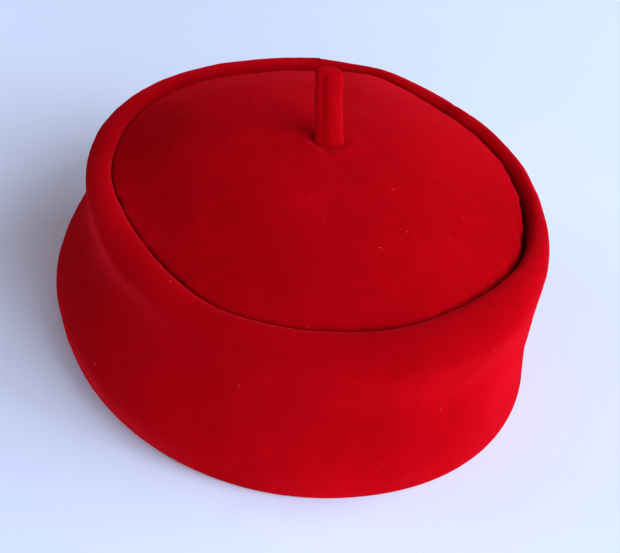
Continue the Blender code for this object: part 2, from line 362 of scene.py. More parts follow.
class StubSizes(bpy.types.PropertyGroup):
    """Sizes of the rolled stub."""

    width: length_setting("Width", "Width of the stub", 0.0107)
    depth: length_setting("Depth", "Depth of the stub", 0.0074)
    height: length_setting("Height", "Height of the stub", 0.0304)
    top_round: length_setting("Top round", "Rise of the stub's rounded top", 0.0022)
    sunk: length_setting("Sunk", "How deep the foot is sewn into the felt", 0.0012)
    turn: angle_setting("Turn", "Turn of the stub's wide side about +Z", -0.314)
    lean: bpy.props.FloatVectorProperty(
        name="Lean",
        description="How far the top leans over",
        size=2,
        default=(-0.0030, 0.0010),
        unit="LENGTH",
    )
    place: bpy.props.FloatVectorProperty(
        name="Place",
        description="Where the foot stands in plan",
        size=2,
        default=(0.0071, 0.0034),
        unit="LENGTH",
    )
    flap_around: angle_setting("Flap", "Where the rolled cloth's edge lies", 3.87)
    flap: length_setting("Flap step", "Step at the rolled cloth's edge", 0.0003)
    valley: length_setting("Valley", "Depth of the valley beside the flap", 0.00055)


class FibreSizes(bpy.types.PropertyGroup):
    """Loose fibres that lie on the felt."""

    on_crown: count_setting("On the crown", "Number of fibres on the crown", 75)
    on_band: count_setting("On the band", "Number of fibres on the side band", 70)
    on_stub: count_setting("On the stub", "Number of fibres on the stub", 5)
    length: length_setting("Length", "Usual length of a fibre", 0.0007)
    thickness: length_setting("Thickness", "Thickness of a fibre", 0.00012)


class PileLook(bpy.types.PropertyGroup):
    """Colours of the felt."""

    deep: colour_setting("Deep red", "Pile pressed flat", (0.328, 0.0006, 0.0030))
    bright: colour_setting("Bright red", "Pile brushed up", (0.436, 0.0010, 0.0045))
    # Colour of the painted shade in seams, grooves, the nick, round the stub's foot and over the stub
    crease: colour_setting("Crease", "Down in seams", (0.10, 0.0004, 0.0015))
    sheen: colour_setting("Sheen", "Tint of the pile's sheen", (1.0, 0.030, 0.055))
    fibre: colour_setting("Fibre", "Loose fibres", (0.80, 0.13, 0.13))


class StageLook(bpy.types.PropertyGroup):
    """Camera, floor and light."""

    camera_place: bpy.props.FloatVectorProperty(
        name="Camera place",
        description="Where the camera stands",
        size=3,
        default=(-0.22360, -0.69482, 0.56297),
    )
    camera_turn: bpy.props.FloatVectorProperty(
        name="Camera turn",
        description="The camera's turn",
        size=3,
        subtype="EULER",
        default=(0.93190, -0.10000, -0.24414),
    )
    lens: bpy.props.FloatProperty(
        name="Lens", description="Focal length", default=135.81, unit="CAMERA"
    )
    floor: colour_setting("Floor", "Colour of the floor", (0.70, 0.78, 0.97))
    sky: colour_setting("Surroundings", "Colour of the even light", (1.0, 0.80, 0.74))
    sky_strength: bpy.props.FloatProperty(
        name="Even light", description="Strength of the light from all round", default=0.264
    )
    light_strength: bpy.props.FloatProperty(
        name="Window light", description="Strength of all the soft lights together", default=1.0
    )
    light_tint: colour_setting("Window tint", "Colour of the soft lights", (0.72, 0.83, 1.0))


def settings():
    """The hat's settings, kept on the scene."""
    return bpy.context.scene.fez_hat


def plan_outline(angle, half_width, half_length):
    """Superellipse: the cosine and sine of the angle to the power 2 / squareness, each times its
    half size, with the width grown in proportion to the sine so that the back is fuller."""
    band = settings().band
    power = 2 / band.squareness
    across = np.sign(np.cos(angle)) * np.abs(np.cos(angle)) ** power
    along = np.sign(np.sin(angle)) * np.abs(np.sin(angle)) ** power
    return half_width * across * (1 + band.back_fullness * np.sin(angle)), half_length * along


def eased(rows, values, share):
    """Smooth curve through a table's column: the cubic between two rows that keeps the slope at
    each, where a row's slope is taken from its neighbours."""
    slopes = np.gradient(values, rows)
    row = np.clip(np.searchsorted(rows, share, side="right") - 1, 0, len(rows) - 2)
    step = rows[row + 1] - rows[row]
    t = (share - rows[row]) / step
    start, end = values[row], values[row + 1]
    rise, fall = slopes[row] * step, slopes[row + 1] * step
    keep = 2 * t**3 - 3 * t**2 + 1
    return keep * start + (t**3 - 2 * t**2 + t) * rise + (1 - keep) * end + (t**3 - t**2) * fall


def band_section(share):
    """Half width, half length and centre of the band's outside at shares of its widest point's
    height."""
    band = settings().band
    heights = BAND_SECTIONS["height"]
    names = ("width", "length", "shift_across", "shift_along")
    width, length, across, along = (eased(heights, BAND_SECTIONS[name], share) for name in names)
    half_width = width * band.hem_width / 2
    half_length = length * band.hem_length / 2
    return half_width, half_length, across * band.hem_width, along * band.hem_length


def middle_of_plan():
    """Centre of the band's box in plan, which the whole hat is moved by so that it stands on the
    origin."""
    angle = np.linspace(0, 2 * np.pi, BAND_COLUMNS)[None, :]
    section = band_section(np.linspace(0, 1, 15))
    half_width, half_length, shift_across, shift_along = (column[:, None] for column in section)
    x, y = plan_outline(angle, half_width, half_length)
    x, y = x + shift_across, y + shift_along
    return (x.min() + x.max()) / 2, (y.min() + y.max()) / 2


def wall_dents(angle, share):
    """How far the wall is pushed in: a sum of hollows that each fall off as a bell curve round the
    hat and up it."""
    around = np.degrees(angle)
    depth = np.zeros(np.broadcast_shapes(np.shape(angle), np.shape(share)))
    for dent in WALL_DENTS:
        away = (around - dent["around"] + 180) % 360 - 180
        up = share - dent["height"]
        fall = np.exp(-((away / dent["turn"]) ** 2) - (up / dent["rise"]) ** 2)
        depth = depth + dent["depth"] * settings().band.hem_width * fall
    return depth


def rim(column, angle):
    """A column of the rim's table at any angle: between two entries, the cubic that keeps the slope
    at each, taken from the entries on either side."""
    values = RIM[column]
    place = np.asarray(angle) / (2 * np.pi) * len(values)
    row = np.floor(place).astype(int)
    t = place - row
    before, start, end, after = (values[(row + step) % len(values)] for step in (-1, 0, 1, 2))
    curve = 2 * before - 5 * start + 4 * end - after + t * (3 * (start - end) + after - before)
    return start + t / 2 * (end - before + t * curve)


def relief(points, wavelength, seed, waves=26):
    """Soft random relief of about -1 to 1: a sum of plane sine waves in random directions, with
    wavelengths spread about the one given."""
    random = np.random.default_rng(seed)
    directions = random.normal(size=(waves, 3))
    directions /= np.linalg.norm(directions, axis=1, keepdims=True)
    turns = directions * (random.uniform(0.7, 1.5, (waves, 1)) * 2 * np.pi / wavelength)
    phases = random.uniform(0, 2 * np.pi, waves)
    return np.sin(points @ turns.T + phases).sum(axis=-1) * np.sqrt(2 / waves)


def layered_relief(points, layers):
    """Sum of the soft reliefs of some layers, each times its height."""
    return sum(height * relief(points, wavelength, seed) for height, wavelength, seed in layers)


def bell(value, width):
    """1 in the middle, falling off with the square of the distance over the width."""
    return np.exp(-((value / width) ** 2))


def bell_about(value, middle, width):
    """The bell about a value other than 0."""
    return bell(value - middle, width)


def smooth_step(value, low, high):
    """0 below low, 1 above high, and an even S curve between."""
    t = np.clip((value - low) / (high - low), 0, 1)
    return t * t * (3 - 2 * t)


def outward(points, closed_rows):
    """Unit normals of a grid that is closed round its columns: the cross product of its two central
    differences."""
    around = np.roll(points, -1, axis=1) - np.roll(points, 1, axis=1)
    if closed_rows:
        along = np.roll(points, -1, axis=0) - np.roll(points, 1, axis=0)
    else:
        along = np.gradient(points, axis=0)
    normal = np.cross(around, along)
    return normal / np.maximum(np.linalg.norm(normal, axis=-1, keepdims=True), 1e-12)


def grid_faces(rows, columns, closed_rows):
    """Corner numbers of a grid's quads, closed round its columns, and along its rows too where
    asked."""
    row = np.arange(rows if closed_rows else rows - 1)[:, None]
    column = np.arange(columns)[None, :]
    above, beside = (row + 1) % rows, (column + 1) % columns
    low, high = row * columns, above * columns
    corners = np.broadcast_arrays(low + column, low + beside, high + beside, high + column)
    return np.stack(corners, axis=-1).reshape(-1, 4)


def brushed_pile_and_painted_light(points):
    """How far the pile is brushed up or down at each point, with the painted light and painted shade
    of the patches: a sum of patches that each fall off as a bell curve of the distance from their
    middle."""
    total = np.zeros(len(points))
    for patch in PILE_AND_LIGHT_PATCHES:
        middle = np.array([patch["x"], patch["y"], patch["z"]])
        total += patch["brushed"] * bell(np.linalg.norm(points - middle, axis=1), patch["reach"])
    return total


def add_piece(name, points, faces, material, painted_shading=None):
    """A mesh object of these points and faces, smooth, in its place. A piece of felt also gets the
    amount of its painted shade and the way its pile is brushed, with patches of painted light and
    painted shade among them, as attributes."""
    if not np.isfinite(points).all():
        raise ValueError(f"{name} can't be built from these sizes")
    mesh = bpy.data.meshes.new(name)
    mesh.from_pydata(points.reshape(-1, 3), [], faces)
    if painted_shading is not None:
        brushed = brushed_pile_and_painted_light(points.reshape(-1, 3))
        for attribute_name, values in (("crease", painted_shading), ("brushed", brushed)):
            attribute = mesh.attributes.new(attribute_name, "FLOAT", "POINT")
            attribute.data.foreach_set("value", values.astype(np.float32).ravel())
    mesh.polygons.foreach_set("use_smooth", np.ones(len(mesh.polygons), bool))
    mesh.materials.append(material)
    mesh.validate()
    mesh.update()
    piece = bpy.data.objects.new(name, mesh)
    bpy.context.scene.collection.objects.link(piece)
    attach(piece, "root")
    return piece


def even_angles(count):
    """This many angles, even round the circle from 0."""
    return np.arange(count) * 2 * np.pi / count


def band_columns():
    """Angles of the band's columns: even round the hat, with more of them close to the seam."""
    seam = settings().seam
    even = even_angles(BAND_COLUMNS)
    near = seam.seam_around + np.linspace(-SEAM_REACH, SEAM_REACH, SEAM_COLUMNS)
    clear = np.abs(even - seam.seam_around) > SEAM_REACH
    return np.sort(np.concatenate((even[clear], near)))


def profile_rows(share, inset, outer, slope, height, fall=0.0, sink=0.0):
    """Rows of the band's profile, one column for each value, those given once repeated down it."""
    columns = np.broadcast_arrays(share, inset, outer, slope, height, fall, sink)
    return np.stack(columns, axis=1).astype(float)


def band_profile():
    """The closed profile of the band, from the hem up the outside, over the roll, down the groove
    and back down the inside. Each row has the share of the height whose section it follows, its
    inset, how far it is over the roll's outer part and over its slope, its height, and how far it
    is down that slope and down the groove below it."""
    band = settings().band
    widest = band.crest_height - band.roll_rise
    tuck = band.crest_height - band.tuck_depth
    quarter = np.pi / 2

    turn = np.linspace(0, quarter, HEM_ROWS)
    inset = band.hem_round * (1 - np.sin(turn))
    hem_out = profile_rows(0.0, inset, 0.0, 0.0, band.hem_round * (1 - np.cos(turn)))
    share = np.linspace(band.hem_round / widest, 1, WALL_ROWS)[1:]
    wall = profile_rows(share, 0.0, 0.0, 0.0, share * widest)
    turn = np.linspace(0, quarter, ROLL_OUTER_ROWS)[1:]
    height = widest + band.roll_rise * np.sin(turn)
    outer = profile_rows(1.0, 0.0, 1 - np.cos(turn), 0.0, height)
    turn = np.linspace(0, quarter, ROLL_SLOPE_ROWS)[1:]
    slope = profile_rows(1.0, 0.0, 1.0, np.sin(turn), band.crest_height, 1 - np.cos(turn))
    sink = np.linspace(0, 1, TUCK_ROWS)[1:]
    face = profile_rows(1.0, 0.0, 1.0, 1.0, band.crest_height, 1.0, sink)
    across = np.linspace(0, 1, LEDGE_ROWS + 1)[1:]
    share = 1 - across * (1 - tuck / widest)
    ledge = profile_rows(share, band.wall * across, 1 - across, 1 - across, tuck)
    share = np.linspace(tuck / widest, band.hem_round / widest, LINING_SIDE_ROWS)[1:]
    low, high = band.hem_fold - HEM_FOLD_STEP, band.hem_fold + HEM_FOLD_STEP
    fold = band.hem_round / 2 * (1 - smooth_step(share * widest, low, high))
    inside = profile_rows(share, band.wall + fold, 0.0, 0.0, share * widest)
    turn = np.linspace(0, quarter, HEM_ROWS)[1:]
    inset = band.wall + band.hem_round / 2 - band.hem_round * (1 - np.cos(turn))
    hem_in = profile_rows(0.0, inset, 0.0, 0.0, band.hem_round * (1 - np.sin(turn)))
    return np.concatenate((hem_out, wall, outer, slope, face, ledge, inside, hem_in)).T


def over_roll(angle, outer, slope):
    """Share of the rim's width at a row: its way over the outer part, and its way over the slope,
    each times the share of the width that it takes up."""
    return (1 - rim("slope", angle)) * outer + rim("slope", angle) * slope


def band_points(angle, share, inset, outer, slope, height, fall, sink):
    """Points of the band: the outline of each row's section, drawn in by the row's inset, its share
    of the rim's width and the dents, at the row's height less the fall into the groove."""
    band = settings().band
    half_width, half_length, shift_across, shift_along = band_section(share)
    roll = over_roll(angle, outer, slope)
    drawn_in = inset + roll * rim("width", angle) + (1 - roll) * wall_dents(angle, share)
    x, y = plan_outline(angle, half_width - drawn_in, half_length - drawn_in)
    middle = middle_of_plan()
    x = x + shift_across + roll * band.groove_shift - middle[0]
    y = y + shift_along - middle[1]
    widest = band.crest_height - band.roll_rise
    below_crest = 1 - np.clip((height - widest) / band.roll_rise, 0, 1)
    lowered = rim("lower", angle) * smooth_step(height, STEADY_HEIGHT, widest) * below_crest
    height = height - lowered * (inset == 0)
    height = height - fall * rim("fall", angle) - sink * (band.tuck_depth - rim("fall", angle))
    height = height - rim("sag", angle) * smooth_step(height, STEADY_HEIGHT, SAG_HEIGHT)
    return np.stack(np.broadcast_arrays(x, y, height), axis=-1)


def build_side_band():
    """The band's profile is carried round its columns and pushed out along the normals by a sum of
    layered relief, the seam's lapped ridge less its sunk line, the nick and the fold, all of it faded
    out at the hem and at the foot of the groove."""
    band, seam = settings().band, settings().seam
    angle = band_columns()[None, :]
    rows = [column[:, None] for column in band_profile()]
    share, inset, outer, slope, height = rows[:5]
    points = band_points(angle, *rows)
    normal = outward(points, True)
    roll = over_roll(angle, outer, slope)
    radius = np.hypot(points[..., 0], points[..., 1])

    outside = (inset < band.wall / 2) * smooth_step(height, 0.0, 0.004)
    outside = outside * (1 - smooth_step(slope, 0.80, 1.0))
    raised = layered_relief(points, BAND_RELIEF)

    seam_angle = seam.seam_around + seam.slant * (height / band.crest_height - 1 + roll)
    wander = sum(reach * np.sin(height / turn) for reach, turn in SEAM_WANDER)
    away = (angle - seam_angle) * radius + wander
    stitches = np.sin(height / STITCH_SPACING * 2 * np.pi + roll * STITCH_TURN)
    line = bell(away + SEAM_LINE_OFFSET, seam.width)
    ridge = np.where(away > 0, bell(away, RIDGE_REACH_PAST), bell(away, RIDGE_REACH_SHORT))
    ridge = ridge * (RIDGE_ON_WALL + (1 - RIDGE_ON_WALL) * smooth_step(roll, 0.2, 0.6))
    raised = raised + seam.swell * ridge * (1 + STITCH_PINCH * stitches) - seam.depth * line

    nick = bell((angle - np.radians(NICK_AROUND)) * radius, NICK_HALF_WIDTH)
    nick = nick * bell(height - band.crest_height + NICK_BELOW_CREST, NICK_HALF_HEIGHT)
    raised = raised - NICK_DEPTH * nick * (roll < 0.6)

    fold_way = (np.degrees(angle) - FOLD_START) / FOLD_RUN
    fold = bell(height - FOLD_HEIGHT - FOLD_CLIMB * fold_way, FOLD_HALF_WIDTH)
    raised = raised + FOLD_RISE * fold * bell(fold_way - 0.5, FOLD_SPREAD)

    points = points + normal * (raised * outside)[..., None]
    points[..., 2] = np.maximum(points[..., 2], 0.0)
    # Painted shade: darker down the open groove, in the seam's sunk line and in the nick
    groove = smooth_step(slope, 0.70, 1.0) * (share == 1) * rim("open", angle)
    painted_shading = LINE_PAINTED_SHADE * line * outside + GROOVE_PAINTED_SHADE * groove + NICK_PAINTED_SHADE * nick
    faces = grid_faces(*points.shape[:2], True)
    felt = pile_felt("band_felt", 3.0, 0.55)
    piece = add_piece("felt_side_band", points, faces, felt, np.clip(painted_shading, 0, 1))
    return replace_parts(piece, "side_band")


def dome_edge():
    """Inset from the groove, height and turn at which the crown's rounded edge ends and its dome
    starts."""
    band, crown = settings().band, settings().crown
    half_width, half_length, _, _ = band_section(np.array(1.0))
    edge = RIM["width"].mean() + crown.groove_width + crown.edge_round
    reach = (half_width + half_length) / 2 - edge
    turn = np.pi / 2 - np.arctan(crown.fullness * crown.rise / reach)
    return crown.edge_round * (1 - np.cos(turn)), band.crest_height - crown.drop, turn


def dome_height(share):
    """Height of the dome: its edge's height and its rise times 1 less the share of the radius to a
    power."""
    crown = settings().crown
    return dome_edge()[1] + crown.rise * (1 - share**crown.fullness)


def crown_points(angle, inset, gap, share, height, shifted):
    """Points of the crown: the outline of the groove's face drawn in by the inset and the row's
    part of the open groove, then scaled about the dome's middle by the share."""
    band, crown = settings().band, settings().crown
    half_width, half_length, _, _ = band_section(np.array(1.0))
    past_seam = angle - settings().seam.seam_around
    uneven = sum(size * np.sin(waves * angle + phase) for size, waves, phase in GROOVE_WAVES)
    uneven = uneven + POCKET_SHARE * bell_about(past_seam, *POCKET)
    uneven = uneven * smooth_step(share, GROOVE_WAVES_FROM, 1.0)
    groove = (crown.groove_width - crown.seam_gap) * rim("open", angle) * (1 + uneven)
    drawn_in = rim("width", angle) + crown.seam_gap + inset + gap * groove
    x, y = plan_outline(angle, (half_width - drawn_in) * share, (half_length - drawn_in) * share)
    middle = middle_of_plan()
    x = x + band.groove_shift + shifted * crown.shift - middle[0]
    height = height - rim("sag", angle) * share**SAG_POWER
    dip = rim("dip", angle) * smooth_step(share, DIP_FROM, 1.0)
    height = height - dip * smooth_step(height, *DIP_HEIGHTS)
    return np.stack(np.broadcast_arrays(x, y - middle[1], height), axis=-1)


def crown_profile(thickness):
    """Rows of the crown from its foot in the groove to near the middle: inset, part of the open
    groove that is added to it, share of the radius, height, and 1 where the row is set off with the
    dome."""
    band, crown = settings().band, settings().crown
    edge_inset, edge_height, turn = dome_edge()
    foot = band.crest_height - band.tuck_depth
    shoulder = edge_height - crown.edge_round * np.sin(turn)
    climb = np.linspace(0, 1, CROWN_EDGE_ROWS)
    lean = smooth_step(climb, 0.15, 1.0)
    ones = np.ones_like(climb)
    side = np.stack((ones * thickness, lean, ones, foot + climb * (shoulder - foot), lean), axis=1)
    angle = np.linspace(0, turn, CROWN_EDGE_ROWS)[1:-1]
    inset = crown.edge_round * (1 - np.cos(angle)) + thickness
    height = shoulder + crown.edge_round * np.sin(angle)
    ones = np.ones_like(angle)
    rounded = np.stack((inset, ones, ones, height, ones), axis=1)
    rows = DOME_INSIDE_ROWS if thickness else DOME_ROWS
    share = np.linspace(1, 0, rows + 1)[:-1]
    ones = np.ones_like(share)
    height = dome_height(share) - thickness
    dome = np.stack((ones * (edge_inset + thickness), ones, share, height, ones), axis=1)
    return np.concatenate((side, rounded, dome)).T


def stub_foot():
    """Where the stub stands: its place in plan and the dome's height there, with the seam gap over
    it."""
    stub, crown = settings().stub, settings().crown
    half_width, half_length, _, _ = band_section(np.array(1.0))
    edge = RIM["width"].mean() + crown.groove_width + dome_edge()[0]
    middle = middle_of_plan()
    half_width, half_length = half_width - edge, half_length - edge
    shifted = settings().band.groove_shift + crown.shift
    away_x = (stub.place[0] + middle[0] - shifted) / half_width
    away_y = (stub.place[1] + middle[1]) / half_length
    nearest = max(0.0, np.hypot(away_x, away_y) - stub.width / 2 / half_width)
    return np.array(stub.place), float(dome_height(nearest)) + crown.seam_gap


def build_crown():
    """The dome's outer skin, pushed out along its normals by layered relief and by the pile round the
    stub: a ring puckered by cosines of the bearing, and a moat within it. The inner skin lies the
    felt's thickness below. A fan of triangles closes each at its tip."""
    crown = settings().crown
    angle = even_angles(CROWN_COLUMNS)[None, :]
    rows = [column[:, None] for column in crown_profile(0.0)]
    share = rows[2]
    outer = crown_points(angle, *rows)
    normal = outward(outer, False)

    raised = layered_relief(outer, CROWN_RELIEF)
    raised = raised + layered_relief(outer, EDGE_RELIEF) * bell(share - 1, EDGE_REACH)

    place, _ = stub_foot()
    from_stub = outer[..., :2] - place
    distance = np.hypot(from_stub[..., 0], from_stub[..., 1])
    bearing = np.arctan2(from_stub[..., 1], from_stub[..., 0])
    left_of_stub = ((1 - np.cos(bearing)) / 2) ** 2
    puckers = 1 + sum(size * np.cos(waves * bearing + phase) for size, waves, phase in PUCKERS)
    ring = bell_about(distance, *RING) * puckers * (0.6 - 0.4 * np.sin(bearing))
    moat = (MOAT_DEPTH + MOAT_DEPTH_LEFT * left_of_stub) * bell_about(distance, *MOAT)
    raised = raised + RING_RISE * ring - moat
    raised = raised * smooth_step(outer[..., 2], *CROWN_RELIEF_HEIGHTS)
    outer = outer + normal * raised[..., None]

    rows = [column[:, None] for column in crown_profile(crown.thickness)]
    inner = crown_points(angle, *rows)
    points = np.concatenate((inner[::-1], outer))
    tips = np.array([inner[-1].mean(axis=0), outer[-1].mean(axis=0)])
    tips[0, 2] = dome_height(0.0) - crown.thickness
    faces = grid_faces(*points.shape[:2], False)
    points = points.reshape(-1, 3)
    first, last = len(points), len(points) + 1
    column = np.arange(CROWN_COLUMNS)
    beside = (column + 1) % CROWN_COLUMNS
    top = len(points) - CROWN_COLUMNS
    low_fan = np.stack((beside, column, np.full_like(column, first)), axis=1)
    high_fan = np.stack((top + column, top + beside, np.full_like(column, last)), axis=1)

    # Painted shade: the crown is painted darker at its foot, down in the groove
    deep = CROWN_FOOT_PAINTED_SHADE * (1 - smooth_step(outer[..., 2], *CROWN_SHADE_HEIGHTS))
    # Painted shade round the stub's foot, darker on its left where its shadow falls
    shade_at_foot = (FOOT_SHADE + FOOT_SHADE_LEFT * left_of_stub) * bell_about(distance, *FOOT_SHADE_RING)
    painted_shading = np.concatenate((np.zeros(inner.shape[:2]), np.maximum(deep, shade_at_foot)))
    painted_shading = np.concatenate((painted_shading.ravel(), (0.0, 0.0)))
    points = np.concatenate((points, tips))
    faces = faces.tolist() + low_fan.tolist() + high_fan.tolist()
    felt = pile_felt("crown_felt", 7.0, 0.3)
    piece = add_piece("felt_crown", points, faces, felt, painted_shading)
    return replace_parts(piece, "crown")


def build_stub():
    """The stub is a flat oval carried up a leaning line. Its radius drops by the flap's step over
    the flap's edge and grows back once round, as rolled cloth's does. A shallow valley, deeper
    towards the top, lies beside that edge. The top is rounded over, with the same roll as a faint
    spiral."""
    stub = settings().stub
    place, foot = stub_foot()
    angle = even_angles(STUB_COLUMNS)[None, :]
    shoulder = stub.height - stub.top_round
    climb = np.linspace(-stub.sunk, shoulder, STUB_ROWS)
    over = np.linspace(0, np.pi / 2, STUB_TOP_ROWS)[1:-1]
    rise = np.concatenate((climb, shoulder + stub.top_round * np.sin(over)))[:, None]
    shrink = np.concatenate((np.ones(STUB_ROWS), np.cos(over) ** STUB_TOP_POWER))[:, None]

    past_flap = (angle - stub.flap_around) % (2 * np.pi)
    spiral = -stub.flap * (1 - past_flap / (2 * np.pi)) * smooth_step(past_flap, 0.0, FLAP_TURN)
    hollow = bell_about(past_flap, *VALLEY) * (0.35 + 0.65 * rise / stub.height)
    spiral = spiral - stub.valley * hollow
    across = (stub.width / 2 + spiral) * np.cos(angle) * shrink
    along = (stub.depth / 2 + spiral) * np.sin(angle) * shrink
    flare = FLARE * bell(rise, FLARE_HEIGHT)
    across, along = across + flare * np.cos(angle), along + flare * np.sin(angle)
    lean = rise / stub.height
    x = place[0] + stub.lean[0] * lean + across * np.cos(stub.turn) - along * np.sin(stub.turn)
    y = place[1] + stub.lean[1] * lean + across * np.sin(stub.turn) + along * np.cos(stub.turn)
    layers = (shrink * stub.width / 2 + LAYER * angle / (2 * np.pi)) / LAYER
    groove = bell((layers % 1) - 0.5, 0.20) * (1 - smooth_step(shrink, 0.55, 0.80))
    z = foot + rise - SPIRAL_DEPTH * groove
    points = np.stack(np.broadcast_arrays(x, y, z), axis=-1)
    normal = outward(points, False)
    side = smooth_step(rise, 0.0010, 0.0030) * smooth_step(shrink, 0.1, 0.9)
    raised = layered_relief(points, STUB_RELIEF) * side
    points = points + normal * raised[..., None]

    # Painted shade: the whole stub a little darker, more along the valley and in the spiral's groove
    valley = bell_about(past_flap, *VALLEY_SHADE_REACH) * smooth_step(shrink, 0.5, 0.9)
    painted_shading = np.clip(STUB_PAINTED_SHADE + VALLEY_PAINTED_SHADE * valley + SPIRAL_PAINTED_SHADE * groove, 0, 1)
    faces = grid_faces(*points.shape[:2], False).tolist()
    count = points.shape[0] * points.shape[1]
    top = np.arange(count - STUB_COLUMNS, count)
    bottom = np.arange(STUB_COLUMNS)
    faces += [top.tolist(), bottom[::-1].tolist()]
    felt = pile_felt("stub_felt", 11.0, 0.6)
    piece = add_piece("felt_stub", points, faces, felt, painted_shading)
    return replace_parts(piece, "stub")


def felt_places(name, count, random):
    """Random places on a felt piece's outside and the normals there: vertices that don't face down
    or inwards, those farther from the middle picked the more often, as columns stand closer
    together near it."""
    if name not in bpy.data.objects:
        raise RuntimeError(f"{name} has to be built before the fibres that lie on it")
    mesh = bpy.data.objects[name].data
    points = np.empty(len(mesh.vertices) * 3)
    mesh.vertices.foreach_get("co", points)
    normals = np.empty(len(mesh.vertices) * 3)
    mesh.vertex_normals.foreach_get("vector", normals)
    points, normals = points.reshape(-1, 3), normals.reshape(-1, 3)
    outwards = (points[:, :2] * normals[:, :2]).sum(axis=1) > -0.003
    seen = outwards * (normals[:, 2] > -0.2) * (points[:, 2] > 0.004)
    chance = np.hypot(points[:, 0], points[:, 1]) * seen
    chosen = random.choice(len(points), count, p=chance / chance.sum())
    return points[chosen], normals[chosen]


def build_fibres():
    """Each fibre is a four-sided tube along a bent line on the felt: it starts at a random place,
    runs square to the normal there, and bends aside with the square of the way along. Its thickness
    falls off towards both ends."""
    fibres = settings().fibres
    random = np.random.default_rng(FIBRE_SEED)
    found = (
        felt_places("felt_crown", fibres.on_crown, random),
        felt_places("felt_side_band", fibres.on_band, random),
        felt_places("felt_stub", fibres.on_stub, random),
    )
    start, normal = (np.concatenate(part) for part in zip(*found))
    total, rings, sides = len(start), FIBRE_RINGS, FIBRE_SIDES
    along = np.cross(normal, random.normal(size=(total, 3)))
    along /= np.linalg.norm(along, axis=1, keepdims=True)
    aside = np.cross(normal, along)
    length = fibres.length * random.lognormal(0.0, FIBRE_LENGTH_SPREAD, total)[:, None, None]
    bend = random.normal(0.0, FIBRE_BEND_SPREAD, total)[:, None, None]
    way = np.linspace(-0.5, 0.5, rings)[None, :, None]
    middle = start[:, None] + normal[:, None] * fibres.thickness * 0.8
    middle = middle + length * (along[:, None] * way + aside[:, None] * bend * way**2)
    half = fibres.thickness / 2 * random.uniform(0.6, 1.3, total)[:, None, None]
    half = half * (1 - (1.9 * way) ** 4)
    corner = (np.arange(sides) * np.pi / 2)[:, None]
    around = aside[:, None, None] * np.cos(corner) + normal[:, None, None] * np.sin(corner)
    points = middle[:, :, None] + half[..., None] * around
    low_end, high_end = np.arange(sides)[::-1], np.arange(sides) + (rings - 1) * sides
    tube = np.concatenate((grid_faces(rings, sides, False), [low_end], [high_end]))
    faces = (tube[None] + (np.arange(total) * rings * sides)[:, None, None]).reshape(-1, 4)
    return add_piece("felt_fibres", points, faces.tolist(), fibre_felt())


def set_inputs(node, values):
    """Give a node's inputs these values."""
    for socket, value in values.items():
        node.inputs[socket].default_value = value


def new_node(tree, kind, inputs=None, **settings_of_node):
    """A node of this kind, with these values in its inputs and these settings."""
    node = tree.nodes.new(kind)
    for name, value in settings_of_node.items():
        setattr(node, name, value)
    set_inputs(node, inputs or {})
    return node


def noise(tree, vector, scale, detail, roughness):
    """Soft noise in space, its value about 0.5."""
    inputs = {"Scale": scale, "Detail": detail, "Roughness": roughness}
    node = new_node(tree, "ShaderNodeTexNoise", inputs, noise_dimensions="3D")
    tree.links.new(vector, node.inputs["Vector"])
    return node.outputs["Fac"]


def calculate(tree, operation, first, second):
    """A sum, product or the like of two values, each a socket or a number."""
    node = new_node(tree, "ShaderNodeMath", operation=operation)
    for socket, value in zip(node.inputs, (first, second)):
        if isinstance(value, bpy.types.NodeSocket):
            tree.links.new(value, socket)
        else:
            socket.default_value = value
    return node.outputs["Value"]


def weighted_sum(tree, weights, values):
    """Sum of the named values, each times its weight."""
    total = 0.0
    for name, weight in weights.items():
        total = calculate(tree, "ADD", total, calculate(tree, "MULTIPLY", values[name], weight))
    return total


def between(tree, value, low, high, to_low, to_high):
    """A value carried in proportion from one range to another, and held at its ends."""
    inputs = {"From Min": low, "From Max": high, "To Min": to_low, "To Max": to_high}
    node = new_node(tree, "ShaderNodeMapRange", inputs)
    tree.links.new(value, node.inputs["Value"])
    return node.outputs["Result"]


def blended(tree, share, first, second):
    """A mix of two colours, each a socket or three numbers, by the share of the second."""
    node = new_node(tree, "ShaderNodeMix", data_type="RGBA")
    tree.links.new(share, node.inputs["Factor"])
    for name, value in (("A", first), ("B", second)):
        socket = next(s for s in node.inputs if s.name == name and s.type == "RGBA")
        if isinstance(value, bpy.types.NodeSocket):
            tree.links.new(value, socket)
        else:
            socket.default_value = (*value, 1.0)
    return next(s for s in node.outputs if s.type == "RGBA")


def new_material(name):
    """A material of this name, with its node tree and its main shader."""
    material = bpy.data.materials.new(name)
    material.use_nodes = True
    tree = material.node_tree
    return material, tree, tree.nodes["Principled BSDF"]


